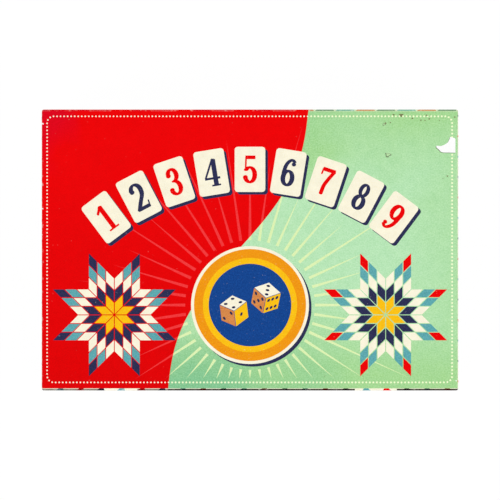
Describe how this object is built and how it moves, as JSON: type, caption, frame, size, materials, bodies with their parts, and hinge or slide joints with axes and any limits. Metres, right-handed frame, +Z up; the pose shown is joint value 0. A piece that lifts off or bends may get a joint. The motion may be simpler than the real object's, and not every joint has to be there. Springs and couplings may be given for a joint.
{
  "type": "shut the box game",
  "caption": "Wooden dice game with numbered tiles that flip on a rod, a felt-lined tray and loose dice, packed in a printed lift-off-lid carton that lies flat.",
  "frame": {"origin": "under the middle of the closed carton, on the surface it lies on", "axes": "+Z up through the lid, +X along the long side to the player's right, -Y towards the player, who sits at the side away from the number tiles"},
  "size_m": [0.212, 0.143, 0.058],
  "materials": {
    "greyboard": "bare grey board, 1.7 mm",
    "lid_paper": "printed in flat colours, thin satin varnish",
    "base_paper": "printed in flat colours, thin satin varnish",
    "leaflet_paper": "uncoated, folded once",
    "white_card": "folded white card",
    "tray_wood": "yellow stain under satin lacquer",
    "tile_wood": "yellow stain under satin lacquer, dark numerals",
    "panel_wood": "bare plywood",
    "felt": "pressed wool-blend felt",
    "rod_steel": "drawn wire, bright",
    "die_wood": "oiled, black pips"
  },
  "bodies": {
    "base": {"base_board": "greyboard", "base_wrap": "base_paper", "base_bottom_sheet": "base_paper"},
    "leaflet": {"rules_leaflet": "leaflet_paper"},
    "tray": {"front_rail": "tray_wood", "right_rail": "tray_wood", "back_rail": "tray_wood", "left_rail": "tray_wood", "left_cheek": "tray_wood", "right_cheek": "tray_wood", "divider_rail": "tray_wood", "bottom_panel": "panel_wood", "well_felt": "felt", "bay_felt": "felt", "tile_rod": "rod_steel"},
    "tile_1": {"number_tile_1": "tile_wood"},
    "tile_2": {"number_tile_2": "tile_wood"},
    "tile_3": {"number_tile_3": "tile_wood"},
    "tile_4": {"number_tile_4": "tile_wood"},
    "tile_5": {"number_tile_5": "tile_wood"},
    "tile_6": {"number_tile_6": "tile_wood"},
    "tile_7": {"number_tile_7": "tile_wood"},
    "tile_8": {"number_tile_8": "tile_wood"},
    "tile_9": {"number_tile_9": "tile_wood"},
    "first_die": {"die_1": "die_wood"},
    "second_die": {"die_2": "die_wood"},
    "lid": {"lid_board": "greyboard", "lid_wrap": "lid_paper", "lid_spacer_left": "white_card", "lid_spacer_right": "white_card"}
  },
  "joints": [
    {"name": "leaflet_lift", "type": "slide", "parent": "base", "child": "leaflet", "axis": [0, 0, 1], "range_m": [0, 0.06]},
    {"name": "tray_lift", "type": "slide", "parent": "leaflet", "child": "tray", "axis": [0, 0, 1], "range_m": [0, 0.06]},
    {"name": "lid_lift", "type": "slide", "parent": "tray", "child": "lid", "axis": [0, 0, 1], "range_m": [0, 0.06]},
    {"name": "number_tile_1_flip", "type": "hinge", "parent": "tray", "child": "tile_1", "pos_m": [-0.0768, 0.0499, 0.0182], "axis": [-1, 0, 0], "range_deg": [0, 112]},
    {"name": "number_tile_2_flip", "type": "hinge", "parent": "tray", "child": "tile_2", "pos_m": [-0.0576, 0.0499, 0.0182], "axis": [-1, 0, 0], "range_deg": [0, 112]},
    {"name": "number_tile_3_flip", "type": "hinge", "parent": "tray", "child": "tile_3", "pos_m": [-0.0384, 0.0499, 0.0182], "axis": [-1, 0, 0], "range_deg": [0, 112]},
    {"name": "number_tile_4_flip", "type": "hinge", "parent": "tray", "child": "tile_4", "pos_m": [-0.0192, 0.0499, 0.0182], "axis": [-1, 0, 0], "range_deg": [0, 112]},
    {"name": "number_tile_5_flip", "type": "hinge", "parent": "tray", "child": "tile_5", "pos_m": [0, 0.0499, 0.0182], "axis": [-1, 0, 0], "range_deg": [0, 112]},
    {"name": "number_tile_6_flip", "type": "hinge", "parent": "tray", "child": "tile_6", "pos_m": [0.0192, 0.0499, 0.0182], "axis": [-1, 0, 0], "range_deg": [0, 112]},
    {"name": "number_tile_7_flip", "type": "hinge", "parent": "tray", "child": "tile_7", "pos_m": [0.0384, 0.0499, 0.0182], "axis": [-1, 0, 0], "range_deg": [0, 112]},
    {"name": "number_tile_8_flip", "type": "hinge", "parent": "tray", "child": "tile_8", "pos_m": [0.0576, 0.0499, 0.0182], "axis": [-1, 0, 0], "range_deg": [0, 112]},
    {"name": "number_tile_9_flip", "type": "hinge", "parent": "tray", "child": "tile_9", "pos_m": [0.0768, 0.0499, 0.0182], "axis": [-1, 0, 0], "range_deg": [0, 112]},
    {"name": "die_1_roll", "type": "slide", "parent": "tray", "child": "first_die", "axis": [1, 0, 0], "range_m": [-0.023, 0.129]},
    {"name": "die_2_roll", "type": "slide", "parent": "tray", "child": "second_die", "axis": [1, 0, 0], "range_m": [-0.062, 0.091]}
  ]
}
